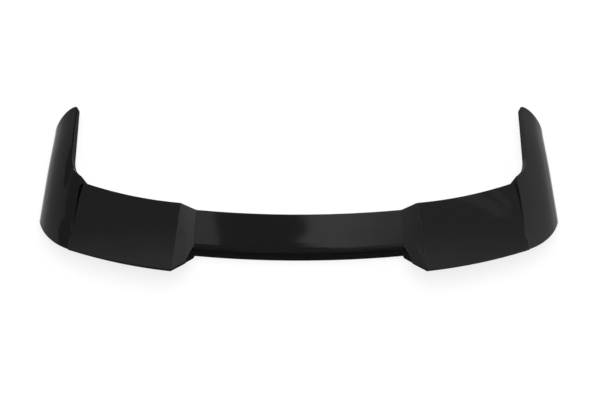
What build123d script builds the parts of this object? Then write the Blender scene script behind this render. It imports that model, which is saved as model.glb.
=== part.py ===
"""Roof spoiler: a one-piece moulded shell with a low centre bar, two raised wings and two forward ears.

Millimetres. +X is to the right, +Y is forward along the car, +Z is up.
Forward distances are counted from the rear face of the centre bar.
"""

import os
from math import asin, degrees

from build123d import *

os.makedirs("parts", exist_ok=True)

# Envelope
half_width = 582.5
tip_reach = 386.5
trail_reach = 56.5

# Moulding: skin, bonding land along the front edge, upright rear wall and ribs
wall = 4.0
land = 14.0
foot_wall = 5.0
foot_setback = 41.0
foot_lap = 6.0
foot_corner_in = 35.0
foot_corner_back = 33.0
foot_end_fore = 25.0
rib_wall = 3.0
bar_ribs = 5
wing_ribs = 4

# The roof line under the part rises forward, flattens under the ears and falls to the sides
bond_slope = 0.10
roof_knee = 200.0
roof_slope = 0.068
roof_radius = 2000.0
roof_flat = 300.0
roof_side_radius = 1750.0
trim_lap = 16.0

# Centre bar, bowed forward towards its ends
bar_half = 230.0
bar_chord = 105.5
bar_front_bow = 12.1
bar_rear_bow = 11.0
bar_back = 2.0
bar_front_z = 18.0
bar_rear_z = 40.0
bar_nose = 11.0
bar_inner_nose = 5.0
bar_crown = 1.0
bar_crown_radius = 1000.0

# Ramps between the bar and the wings
ramp_width = 33.0
ramp_share = 0.36
ramp_reach = 33.0
ramp_nose = 5.5

# Wings, swept forward from the ridge beside the ramp to the crease beside the ear
ridge_lean = -0.053
crease_in = 93.0
crease_lean = -0.04
wing_front = 130.5
front_sweep = 22.0
front_curl = 33.0
trail_sweep = 30.0
trail_curl = 25.0
wing_front_z = 27.0
wing_trail_z = 63.0
wing_drop = 6.0
lip_nose = 1.9
lip_over = 6.0
kick_share = 0.42
kick_sag = 2.4
kick_radius = 2200.0

# Ears: barrel section, upright inner side, sloping crease, swept trailing corner and rounded tip
ear_hub_in = 120.5
ear_roll = 48.0
ear_shoulder = 36.0
ear_ridge_z = 46.0
ear_width = 69.0
ear_lean = 7.0
ear_corner = 69.3
ear_corner_y = 249.0
ear_corner_turn = 75.0
crease_toe = 12.8
crease_heel = 21.6
crease_bow = 10.0
crease_lead = 20.0
crease_pitch = 16.0
corner_lap = 23.0
corner_back = 2.5
corner_lead = 41.5
corner_side = 115.0
corner_pull = 70.0
corner_flare = 15.0
tuck_start = 60.0
tip_tuck = 14.5
tip_width = 60.0
tip_run = 93.0
tip_shoulder = 48.0
tip_corner = 38.0
tip_round = 7.0
rim_bevel = 2.5
toe_run = 90.0
toe_rise = 20.0

# Reach of sketches below the bonding plane, and of cuts past the form
deep = -40.0
past = 300.0

y0 = (trail_reach - tip_reach) / 2
bond_y = y0 + foot_setback - trail_reach
wing_inner_x = bar_half + ramp_width
crease_x = half_width - crease_in
crease_end = crease_x + wall
ear_hub_x = half_width - ear_hub_in
ear_base_x = half_width - ear_width


def blade(x, lean, front_y, front_z, rear_y, rear_z, bend, bend_radius, nose):
    """Closed fore-and-aft section of the bar, a ramp or a wing, reaching below the bonding plane."""
    mid_y = rear_y + (front_y - rear_y) * kick_share
    mid_z = rear_z + (front_z - rear_z) * kick_share + bend
    with BuildSketch(Plane(origin=(x, 0, 0), x_dir=(lean, 1, 0), z_dir=(1, -lean, 0))) as section:
        with BuildLine():
            Line((front_y, deep), (front_y, front_z))
            FilletPolyline(
                (front_y, front_z), (mid_y, mid_z), (rear_y, rear_z), (rear_y, deep),
                radius=[bend_radius, nose],
            )
            Line((rear_y, deep), (front_y, deep))
        make_face()
    return section.sketch


def trail_y(share):
    """Trailing edge of a wing at a share of its span."""
    return y0 - trail_reach + trail_sweep * share + trail_curl * share**2


def front_y(share):
    """Front edge of a wing at a share of its span."""
    return y0 + wing_front + front_sweep * share + front_curl * share**2


def bar_blade(share, inside, rear_inset=foot_wall):
    """Bar section at a share of its half length, or the mould core inside it."""
    return blade(
        bar_half * share, 0,
        y0 + bar_chord + bar_front_bow * share**2 - land * inside, bar_front_z - wall * inside,
        y0 + bar_rear_bow * share**2 - bar_back + rear_inset * inside, bar_rear_z - wall * inside,
        bar_crown, bar_crown_radius, bar_inner_nose if inside else bar_nose,
    )


def wing_blade(share, inside):
    """Wing section at a share of its span, or the mould core inside it."""
    return blade(
        wing_inner_x + (crease_end - wing_inner_x) * share, ridge_lean + (crease_lean - ridge_lean) * share,
        front_y(share) - land * inside, wing_front_z - wall * inside,
        trail_y(share) - lip_over * inside, wing_trail_z - wing_drop * share - wall * inside,
        -kick_sag, kick_radius, lip_nose,
    )


def ramp_blade(inside):
    """Section part-way up a ramp, in line with its two sides, where the trailing edge has swept back."""
    bar_rise = (bar_rear_z - bar_front_z) / bar_chord
    wing_rise = (wing_trail_z - wing_front_z) / (wing_front + trail_reach)
    low = bar_rear_z + bar_rise * (bar_rear_bow + ramp_reach)
    high = wing_trail_z - wing_rise * (trail_reach - ramp_reach)
    front = bar_chord + bar_front_bow
    return blade(
        bar_half + ramp_share * (wing_inner_x - bar_half), ramp_share * ridge_lean,
        y0 + front + ramp_share * (wing_front - front) - land * inside,
        bar_front_z + ramp_share * (wing_front_z - bar_front_z) - wall * inside,
        y0 - ramp_reach - lip_over * inside, low + ramp_share * (high - low) - wall * inside,
        ramp_share * bar_crown, bar_crown_radius, lip_nose if inside else ramp_nose,
    )


def barrel(y, ridge_z, inside):
    """Cross section of an ear: level by the crease, rolling over to an upright cheek."""
    tuck = tip_tuck * (max(0, y - tuck_start) / (tip_reach - tuck_start)) ** 1.5
    top = ridge_z - wall * inside
    out = half_width - tuck - wall * inside
    with BuildSketch(Plane(origin=(0, y0 + y, 0), x_dir=(1, 0, 0), z_dir=(0, -1, 0))) as section:
        with BuildLine():
            Line((ear_hub_x, deep), (ear_hub_x, top))
            Bezier((ear_hub_x, top), (out - ear_roll, top), (out, ear_shoulder), (out, 0))
            Polyline((out, 0), (out, deep), (ear_hub_x, deep))
        make_face()
    return section.sketch


def ear_sections(inside):
    """Sections along an ear, whose ridge leaves the wing's trailing edge, dips and runs level to the tip."""
    trail_z = wing_trail_z - wing_drop
    fall = (trail_z - wing_front_z) / (front_y(1) - trail_y(1))
    by_wing = ((-40.0, 2.4), (5.0, 0.3), (35.0, 0.4), (65.0, 1.8), (110.0, 6.7))
    by_tip = ((188.0, -1.4), (123.0, -0.5), (53.0, 0.0), (-17.0, 0.0))
    sections = [barrel(y, trail_z - fall * (y0 + y - trail_y(1)) + rise, inside) for y, rise in by_wing]
    return sections + [barrel(tip_reach - back, ear_ridge_z + rise, inside) for back, rise in by_tip]


def crease_side(inside):
    """Plan area inboard of the bowed crease between a wing and its ear."""
    front = front_y(1) + crease_lead
    rear = y0 - trail_reach
    toe = (crease_x - crease_toe + wall * inside, front)
    heel = (crease_x - crease_heel + wall * inside, rear)
    with BuildSketch(Plane.XY) as area:
        with BuildLine():
            SagittaArc(heel, toe, -crease_bow)
            Polyline(toe, (crease_x - past, front), (crease_x - past, rear), heel)
        make_face()
    return area.sketch


def inner_side(inside):
    """Plan area inboard of an ear: front corner arc and the ear's straight inner side."""
    hub = ear_base_x - ear_corner
    radius = ear_corner + wall * inside
    front = y0 + tip_reach + past
    with BuildSketch(Plane.XY) as area:
        with BuildLine():
            arc = CenterArc((hub, y0 + ear_corner_y), radius, 0, -ear_corner_turn)
            Polyline(arc @ 1, (hub - past, (arc @ 1).Y), (hub - past, front), (hub + radius, front), arc @ 0)
        make_face()
    return area.sketch


def ear_plan(inside):
    """Plan outline of an ear: the swept trailing corner, the outer side and the rounded tip."""
    sweep = (trail_sweep + 2 * trail_curl) / (crease_end - wing_inner_x)
    lip_y = trail_y(1) - corner_back - 2 * land * inside
    side_y = y0 + corner_side - 2 * land * inside
    out = half_width - wall * inside
    tip_y = y0 + tip_reach - wall * inside
    with BuildSketch(Plane.XY.offset(deep)) as area:
        with BuildLine():
            trail = Bezier(
                (crease_end - corner_lap, lip_y - corner_lap * sweep),
                (crease_end + corner_lead, lip_y + corner_lead * sweep),
                (half_width + wall - corner_flare, side_y - corner_pull), (half_width + wall, side_y),
            )
            tip = Bezier(
                (out, tip_y - tip_run), (out - wall, tip_y - tip_shoulder),
                (out - tip_corner, tip_y), (out - tip_width, tip_y),
            )
            Polyline(trail @ 1, (half_width + past, side_y), (half_width + past, tip_y - tip_run), tip @ 0)
            Polyline(tip @ 1, (0, tip_y), (0, y0 - past), trail @ 0)
        make_face()
    return area.sketch


def half_form(inside):
    """Right-hand ramp, wing and ear as one solid, or the mould core inside them."""
    with BuildPart() as ear:
        loft(ear_sections(inside))
        extrude(crease_side(inside), amount=past, taper=-crease_pitch, mode=Mode.SUBTRACT)
        extrude(inner_side(inside), amount=past, taper=-ear_lean, mode=Mode.SUBTRACT)
        extrude(ear_plan(inside), amount=past, mode=Mode.INTERSECT)
        if not inside:
            tip_inside = (ear_base_x, y0 + tip_reach, ear_ridge_z / 2)
            fillet(ear.edges().sort_by_distance(tip_inside)[0], radius=tip_round)
            rim = ear.edges().filter_by_position(Axis.Z, ear_shoulder, past)
            rim = rim.filter_by_position(Axis.X, ear_hub_x, ear_base_x + trim_lap)
            chamfer(rim.filter_by_position(Axis.Y, front_y(1), past), length=rim_bevel)
    with BuildPart() as form:
        loft([wing_blade(share, inside) for share in (0, 0.5, 1)])
        loft([bar_blade(1, inside, -lip_over), ramp_blade(inside), wing_blade(0, inside)], ruled=True)
        add(ear.part)
    return form.part


def bar_form(inside):
    """Sections of the centre bar, or of the mould core inside it."""
    return [bar_blade(share, inside) for share in (-1, -0.5, 0, 0.5, 1)]


def foot_points(gap):
    """Plan points of the upright wall set back under the trailing lip, moved inward by a gap."""
    middle = (wing_inner_x + crease_x) / 2
    path = (
        (wing_inner_x, trail_y(0) + foot_setback, 0),
        (middle, trail_y(0.5) + foot_setback, 0),
        (crease_x, trail_y(1) + foot_setback, 17),
        (half_width - foot_corner_in, y0 + corner_side - foot_corner_back, 37),
        (half_width + wall / 2, y0 + corner_side + foot_end_fore, 90),
    )
    return [Vector(x, y) + Vector(0, gap).rotate(Axis.Z, turn) for x, y, turn in path]


def foot_band():
    """Plan band of that wall, from the bar's end along the wing and round to the cheek."""
    bar_end = y0 + bar_rear_bow
    inner_x = bar_half - foot_lap
    with BuildSketch(Plane.XY.offset(deep)) as band:
        with BuildLine():
            rear = Spline(foot_points(0))
            fore = Spline(foot_points(foot_wall))
            Line(rear @ 1, fore @ 1)
            Polyline(rear @ 0, (inner_x, bar_end - bar_back), (inner_x, bar_end + foot_wall), fore @ 0)
        make_face()
    return band.sketch


def below_roof(x):
    """Fore-and-aft area below the roof line."""
    rear = y0 - past
    front = y0 + tip_reach + past
    knee = y0 + roof_knee
    knee_z = bond_slope * (knee - bond_y)
    rear_z = bond_slope * (rear - bond_y)
    front_z = knee_z + roof_slope * (front - knee)
    with BuildSketch(Plane.YZ.offset(x)) as area:
        with BuildLine():
            line = FilletPolyline((rear, rear_z), (knee, knee_z), (front, front_z), radius=roof_radius)
            Polyline(line @ 1, (front, -past), (rear, -past), line @ 0)
        make_face()
    return area.sketch


with BuildPart() as core:
    add(half_form(1))
    extrude(foot_band(), amount=past, mode=Mode.SUBTRACT)
    with BuildSketch(Plane.XY.offset(deep)):
        for rib in range(1, wing_ribs + 1):
            share = rib / (wing_ribs + 1)
            x = wing_inner_x + (crease_x - wing_inner_x) * share
            with Locations((x, trail_y(share) + foot_setback + foot_wall / 2)):
                Rectangle(rib_wall, past, align=(Align.CENTER, Align.MIN))
    extrude(amount=past, mode=Mode.SUBTRACT)
    mirror(about=Plane.YZ)
    loft(bar_form(1))
    with BuildSketch(Plane.XY.offset(deep)):
        with GridLocations(2 * bar_half / (bar_ribs - 1), 0, bar_ribs, 1):
            with Locations((0, y0)):
                Rectangle(rib_wall, past, align=(Align.CENTER, Align.MIN))
    extrude(amount=past, mode=Mode.SUBTRACT)

with BuildPart() as roof:
    extrude(below_roof(0), amount=roof_flat, both=True)
    side = Axis((roof_flat, 0, -roof_side_radius), (0, 1, 0))
    side_turn = degrees(asin((ear_base_x + trim_lap - roof_flat) / roof_side_radius))
    revolve(below_roof(roof_flat), axis=side, revolution_arc=side_turn)
    mirror(about=Plane.YZ)

with BuildPart() as spoiler:
    add(half_form(0))
    mirror(about=Plane.YZ)
    loft(bar_form(0))
    add(core.part, mode=Mode.SUBTRACT)
    # The roof line trims everything between the cheeks
    add(roof.part, mode=Mode.SUBTRACT)
    # The cheeks stand on the roof and curve up to the tips
    with BuildSketch(Plane.YZ):
        with BuildLine():
            toe = y0 + tip_reach
            sole = Bezier((toe - toe_run, 0), (toe - toe_run / 2, 0), (toe, toe_rise))
            Polyline(sole @ 1, (toe, deep), (y0 - past, deep), (y0 - past, 0), sole @ 0)
        make_face()
    extrude(amount=3 * past, both=True, mode=Mode.SUBTRACT)

spoiler.part.label = "spoiler"
export_step(spoiler.part, "parts/spoiler.step")
print(spoiler.part.is_valid, spoiler.part.volume, len(spoiler.part.solids()), spoiler.part.bounding_box())
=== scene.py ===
import math

import bpy
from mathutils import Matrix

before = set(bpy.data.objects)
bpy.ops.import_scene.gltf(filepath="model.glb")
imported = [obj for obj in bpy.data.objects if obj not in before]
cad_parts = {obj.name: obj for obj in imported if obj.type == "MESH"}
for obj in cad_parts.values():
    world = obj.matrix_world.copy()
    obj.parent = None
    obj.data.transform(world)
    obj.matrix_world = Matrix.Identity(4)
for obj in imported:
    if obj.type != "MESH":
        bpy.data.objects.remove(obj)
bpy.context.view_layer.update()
scene = bpy.context.scene

# The shell is one gloss black ABS moulding, polished in the tool, left unpainted and bonded to the roof.
# Its gloss has a slow waviness, faint drawn streaks along the bar, a fine peel and a little dust,
# and its edges are rounded by the mould: most at the ridge beside each ramp, least on the ears.
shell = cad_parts["spoiler"]
gloss = bpy.data.materials.new("gloss_black_abs")
gloss.use_nodes = True
nodes = gloss.node_tree.nodes
links = gloss.node_tree.links
skin = nodes["Principled BSDF"]
skin.inputs["IOR"].default_value = 1.5
place = nodes.new("ShaderNodeTexCoord")


def moulded_texture(vector, scale, detail):
    texture = nodes.new("ShaderNodeTexNoise")
    texture.inputs["Scale"].default_value = scale
    texture.inputs["Detail"].default_value = detail
    links.new(vector, texture.inputs["Vector"])
    return texture


stretch = nodes.new("ShaderNodeMapping")
stretch.inputs["Scale"].default_value = (5.0, 170.0, 170.0)
links.new(place.outputs["Object"], stretch.inputs["Vector"])
waves = moulded_texture(place.outputs["Object"], scale=14.0, detail=1.0)
streaks = moulded_texture(stretch.outputs["Vector"], scale=1.0, detail=2.0)
peel = moulded_texture(place.outputs["Object"], scale=420.0, detail=2.0)
dust = moulded_texture(place.outputs["Object"], scale=900.0, detail=0.0)


def set_curve(node, stops):
    curve = node.mapping.curves[0]
    while len(curve.points) < len(stops):
        curve.points.new(0.5, 0.5)
    for point, stop in zip(curve.points, stops):
        point.location = stop
        point.handle_type = "VECTOR"
    node.mapping.update()


# Each pair is a distance from the middle of the part and the edge radius there, both in metres
radii = ((0, 0.003), (0.24, 0.003), (0.252, 0.005), (0.275, 0.005), (0.3, 0.003), (0.45, 0.001), (1, 0.001))
full_radius = 0.01
sides = nodes.new("ShaderNodeSeparateXYZ")
off_centre = nodes.new("ShaderNodeMath")
off_centre.operation = "ABSOLUTE"
rounding = nodes.new("ShaderNodeFloatCurve")
set_curve(rounding, [(distance, radius / full_radius) for distance, radius in radii])
radius_m = nodes.new("ShaderNodeMath")
radius_m.operation = "MULTIPLY"
radius_m.inputs[1].default_value = full_radius
edge = nodes.new("ShaderNodeBevel")
edge.samples = 8
links.new(place.outputs["Object"], sides.inputs["Vector"])
links.new(sides.outputs["X"], off_centre.inputs[0])
links.new(off_centre.outputs["Value"], rounding.inputs["Value"])
links.new(rounding.outputs["Value"], radius_m.inputs[0])
links.new(radius_m.outputs["Value"], edge.inputs["Radius"])

wave_height = 0.00012
streak_height = 0.000012
peel_height = 0.0000012
relief = edge
for texture, height in ((waves, wave_height), (streaks, streak_height), (peel, peel_height)):
    bump = nodes.new("ShaderNodeBump")
    bump.inputs["Distance"].default_value = height
    links.new(texture.outputs["Fac"], bump.inputs["Height"])
    links.new(relief.outputs["Normal"], bump.inputs["Normal"])
    relief = bump
links.new(relief.outputs["Normal"], skin.inputs["Normal"])

rub = nodes.new("ShaderNodeMapRange")
rub.inputs["From Min"].default_value = 0.3
rub.inputs["From Max"].default_value = 0.7
rub.inputs["To Min"].default_value = 0.04
rub.inputs["To Max"].default_value = 0.07
links.new(waves.outputs["Fac"], rub.inputs["Value"])
links.new(rub.outputs["Result"], skin.inputs["Roughness"])

black_plastic = (0.0018, 0.0018, 0.0019, 1)
grey_dust = (0.03, 0.03, 0.029, 1)
specks = nodes.new("ShaderNodeValToRGB")
specks.color_ramp.elements[0].position = 0.80
specks.color_ramp.elements[0].color = black_plastic
specks.color_ramp.elements[1].position = 0.86
specks.color_ramp.elements[1].color = grey_dust
links.new(dust.outputs["Fac"], specks.inputs["Fac"])
links.new(specks.outputs["Color"], skin.inputs["Base Color"])
shell.data.materials.clear()
shell.data.materials.append(gloss)

# The floor is a plain white paper sheet, wide enough to fill the picture, and clear from below.
# It shows white to the camera and in the gloss, and keeps a faint shadow of the part.
square = ((-1, -1), (1, -1), (1, 1), (-1, 1))
floor_reach = 20.0
floor_mesh = bpy.data.meshes.new("floor")
floor_mesh.from_pydata([(x * floor_reach, y * floor_reach, 0) for x, y in square], [], [(0, 1, 2, 3)])
floor = bpy.data.objects.new("floor", floor_mesh)
scene.collection.objects.link(floor)
paper = bpy.data.materials.new("white_paper")
paper.use_nodes = True
paper_nodes = paper.node_tree.nodes
paper_links = paper.node_tree.links
sheet = paper_nodes["Principled BSDF"]
sheet.inputs["Base Color"].default_value = (0.9, 0.9, 0.9, 1)
sheet.inputs["Roughness"].default_value = 0.9
sheet.inputs["Specular IOR Level"].default_value = 0.0
glow = paper_nodes.new("ShaderNodeEmission")
glow.inputs["Strength"].default_value = 1.0
glow_share = 0.8
path = paper_nodes.new("ShaderNodeLightPath")
seen = paper_nodes.new("ShaderNodeMath")
seen.operation = "MAXIMUM"
through = paper_nodes.new("ShaderNodeMath")
through.operation = "MAXIMUM"
share = paper_nodes.new("ShaderNodeMath")
share.operation = "MULTIPLY"
share.inputs[1].default_value = glow_share
blend = paper_nodes.new("ShaderNodeMixShader")
paper_links.new(path.outputs["Is Camera Ray"], seen.inputs[0])
paper_links.new(path.outputs["Is Glossy Ray"], seen.inputs[1])
paper_links.new(seen.outputs["Value"], through.inputs[0])
paper_links.new(path.outputs["Is Transmission Ray"], through.inputs[1])
paper_links.new(through.outputs["Value"], share.inputs[0])
paper_links.new(share.outputs["Value"], blend.inputs["Fac"])
paper_links.new(sheet.outputs["BSDF"], blend.inputs[1])
paper_links.new(glow.outputs["Emission"], blend.inputs[2])


def show_from_front(material, front):
    tree = material.node_tree
    facing = tree.nodes.new("ShaderNodeNewGeometry")
    clear = tree.nodes.new("ShaderNodeBsdfTransparent")
    one_sided = tree.nodes.new("ShaderNodeMixShader")
    tree.links.new(facing.outputs["Backfacing"], one_sided.inputs["Fac"])
    tree.links.new(front, one_sided.inputs[1])
    tree.links.new(clear.outputs["BSDF"], one_sided.inputs[2])
    tree.links.new(one_sided.outputs["Shader"], tree.nodes["Material Output"].inputs["Surface"])


show_from_front(paper, blend.outputs["Shader"])
floor_mesh.materials.append(paper)

# Dark sheets and cards close to the part, which only its gloss sees, each from the front alone.
# Two dark sheets lie on the floor behind the bar and between the ears as painted shadow of the floor,
# three cards stand behind the bar, and one stands beside the left ear.
lying = (0, 0, 0)
facing_forward = (-90, 0, 0)
facing_left = (0, -90, 0)
painted_shadow_z = 0.0006
behind_y = -0.33
half_height = 0.26


def hang_card(name, outline, middle, turns, half_size, tone, end_tone=None):
    across, along = half_size
    card_mesh = bpy.data.meshes.new(name)
    card_mesh.from_pydata([(x * across, y * along, 0) for x, y in outline], [], [range(len(outline))])
    card = bpy.data.objects.new(name, card_mesh)
    scene.collection.objects.link(card)
    card.location = middle
    card.rotation_euler = [math.radians(turn) for turn in turns]
    finish = bpy.data.materials.new(name)
    finish.use_nodes = True
    card_nodes = finish.node_tree.nodes
    card_links = finish.node_tree.links
    front = card_nodes.new("ShaderNodeEmission")
    front.inputs["Strength"].default_value = tone
    if end_tone is not None:
        # The tone holds up to the card's middle and changes evenly from there to its end
        on_card = card_nodes.new("ShaderNodeTexCoord")
        lengthways = card_nodes.new("ShaderNodeSeparateXYZ")
        fade = card_nodes.new("ShaderNodeMapRange")
        fade.inputs["From Min"].default_value = 0.0
        fade.inputs["From Max"].default_value = along
        fade.inputs["To Min"].default_value = tone
        fade.inputs["To Max"].default_value = end_tone
        card_links.new(on_card.outputs["Object"], lengthways.inputs["Vector"])
        card_links.new(lengthways.outputs["Y"], fade.inputs["Value"])
        card_links.new(fade.outputs["Result"], front.inputs["Strength"])
    show_from_front(finish, front.outputs["Emission"])
    card_mesh.materials.append(finish)
    card.visible_camera = False
    card.visible_diffuse = False
    card.visible_shadow = False


# Painted shadow: these dark sheets on the floor, which only the gloss sees, stand in for the shaded floor
# behind the bar and between the ears
hang_card("painted_shadow_behind", square, (0, -2.165, painted_shadow_z), lying, (0.56, 2.035), tone=0.05)
hang_card("painted_shadow_between", square, (0, 0.45, painted_shadow_z), lying, (0.53, 0.45), tone=0.12)
hang_card("card_behind", square, (0, behind_y, half_height), facing_forward, (0.17, half_height), 0.24, 0.13)
for name, side_x in (("card_behind_left", -0.245), ("card_behind_right", 0.245)):
    middle = (side_x, behind_y, half_height)
    hang_card(name, square, middle, facing_forward, (0.075, half_height), tone=0.17, end_tone=0.12)
# Painted shade: this dark card, which only the left ear's gloss sees, darkens the crease between the ear and
# the wing
hang_card("painted_crease_shade", square, (-0.35, 0.15, 0.14), facing_left, (0.08, 0.35), tone=0.05)

# Screens hung far ahead of the part, which the bar's gloss sees. A darker cloth with frayed sides hangs
# in the middle. Behind it stand a light screen on the left and one on the right that fades outwards.
frayed = (
    (0.20, -0.60), (0.24, -0.405), (0.30, -0.383), (0.268, -0.37), (0.265, -0.345), (0.29, -0.322),
    (0.28, -0.126), (0.245, -0.10), (0.20, -0.08), (0.20, -0.05), (0.225, -0.005), (0.19, 0.01),
    (0.21, 0.04), (0.25, 0.225), (0.32, 0.25), (0.45, 1.2), (0.56, 2.6), (0.70, 6), (-1.4, 6),
    (-1.1, 1.5), (-0.27, 0.8), (-0.235, 0.24), (-0.222, 0.0), (-0.222, -0.10), (-0.219, -0.34),
    (-0.235, -0.375), (-0.217, -0.60),
)
as_drawn = (1, 1)
light_y = 4.304
light_z = 6.172
half_length = 2.96
on_its_side = (180, 39.5, 90)
hang_card("screen_middle", frayed, (-0.24, 4.52, 3.85), (129.5, 0, 0), as_drawn, tone=0.20)
hang_card("screen_left", square, (-0.41, light_y, light_z), (140.5, 0, 0), (0.41, half_length), tone=0.59)
hang_card("screen_right", square, (0.3, light_y, light_z), on_its_side, (half_length, 0.3), 0.8, 0.55)

# Screens that the wings' gloss sees, one hung above and ahead of each wing and lighter towards its top.
# Two slanting strips of lighter paper hang before the right one.
wing_tilt = 131.3
wing_turn = 8
wing_screens = (("screen_wing_left", -1, 0.27, 0.78), ("screen_wing_right", 1, 0.32, 0.72))
for name, side, tone, top_tone in wing_screens:
    turns = (wing_tilt, 0, -side * wing_turn)
    hang_card(name, square, (side * 0.427, 0.272, 0.38), turns, (0.145, 0.12), tone, top_tone)

long_strip = ((-0.085, -0.075), (-0.01, -0.075), (0.1, -0.021), (0.06, -0.02))
short_strip = ((0.03, -0.075), (0.055, -0.075), (0.1, -0.032), (0.09, -0.028))
strip_turns = (wing_tilt, 0, -wing_turn)
for name, outline in (("strip_long", long_strip), ("strip_short", short_strip)):
    hang_card(name, outline, (0.426, 0.268, 0.376), strip_turns, as_drawn, tone=0.44)

# Round grey shades to the left of the part, which the left ear's gloss sees as leaf-shaped marks.
# Two hang about a metre off, and a small one hangs close to the ear's rear end.
disc_points = 48
disc_angles = [math.tau * step / disc_points for step in range(disc_points)]
disc = [(math.cos(angle), math.sin(angle)) for angle in disc_angles]
far_turns = (136, 0, 36)
near_turns = (130.4, 0, 34.3)
hang_card("disc_upper", disc, (-0.9335, 0.6038, 0.9914), far_turns, (0.1, 0.065), tone=0.21)
hang_card("disc_lower", disc, (-1.0257, 0.6880, 0.8732), far_turns, (0.105, 0.078), tone=0.21)
hang_card("disc_rear", disc, (-0.579, -0.032, 0.145), near_turns, (0.03, 0.019), tone=0.2)

# Room light: brightest along the horizon and dim overhead, a little dimmer behind than ahead, and stronger
# from the right than from the left. A wide overhead lamp, which the gloss does not see, lights the floor.
across_room = (
    (-1, 0.97), (-0.6, 0.8), (-0.3, 0.66), (-0.1, 0.66), (0, 0.68), (0.08, 0.95), (0.13, 1.12), (0.2, 1.15),
    (0.35, 1.3), (0.45, 1.35), (0.6, 1.22), (1, 1.05),
)
along_room = ((-1, 0.75), (-0.5, 0.85), (0, 0.92), (0.3, 1), (0.54, 1), (0.64, 0.88), (0.75, 1))
up_room = (
    (0, 1.35), (0.1, 1.12), (0.22, 0.93), (0.35, 0.81), (0.48, 0.7), (0.6, 0.62), (0.7, 0.54), (0.8, 0.48),
    (0.9, 0.4), (1, 0.36),
)
full_level = 2.0
world = bpy.data.worlds.new("room")
scene.world = world
world.use_nodes = True
room_nodes = world.node_tree.nodes
room_links = world.node_tree.links
ways = room_nodes.new("ShaderNodeTexCoord")
split = room_nodes.new("ShaderNodeSeparateXYZ")
room_links.new(ways.outputs["Generated"], split.inputs["Vector"])
level = None
for axis, stops in (("X", across_room), ("Y", along_room), ("Z", up_room)):
    span = room_nodes.new("ShaderNodeMapRange")
    span.inputs["From Min"].default_value = -1.0
    room_links.new(split.outputs[axis], span.inputs["Value"])
    ramp = room_nodes.new("ShaderNodeFloatCurve")
    set_curve(ramp, [((way + 1) / 2, brightness / full_level) for way, brightness in stops])
    room_links.new(span.outputs["Result"], ramp.inputs["Value"])
    scaled = room_nodes.new("ShaderNodeMath")
    scaled.operation = "MULTIPLY"
    scaled.inputs[1].default_value = full_level
    room_links.new(ramp.outputs["Value"], scaled.inputs[0])
    if level is None:
        level = scaled
    else:
        product = room_nodes.new("ShaderNodeMath")
        product.operation = "MULTIPLY"
        room_links.new(level.outputs["Value"], product.inputs[0])
        room_links.new(scaled.outputs["Value"], product.inputs[1])
        level = product
room_links.new(level.outputs["Value"], room_nodes["Background"].inputs["Strength"])
room_nodes["Background"].inputs["Color"].default_value = (1, 1, 1, 1)

lamp_height = 2.6
lamp = bpy.data.lights.new("overhead", "AREA")
lamp.shape = "SQUARE"
lamp.size = 3.0
lamp.energy = 75
overhead = bpy.data.objects.new("overhead", lamp)
overhead.location = (0, 0, lamp_height)
overhead.visible_glossy = False
scene.collection.objects.link(overhead)

# The camera looks down at the part from behind the car, steeply, through a lens of moderate length.
# Its place and tilt are those at which the outline fits the photograph.
camera_tilt = 30
lens = bpy.data.cameras.new("camera")
lens.lens = 70
lens.sensor_width = 36
camera = bpy.data.objects.new("camera", lens)
camera.location = (0.00265, -1.33743, 2.29645)
camera.rotation_euler = (math.radians(camera_tilt), 0, 0)
scene.collection.objects.link(camera)
scene.camera = camera
scene.view_settings.view_transform = "Standard"
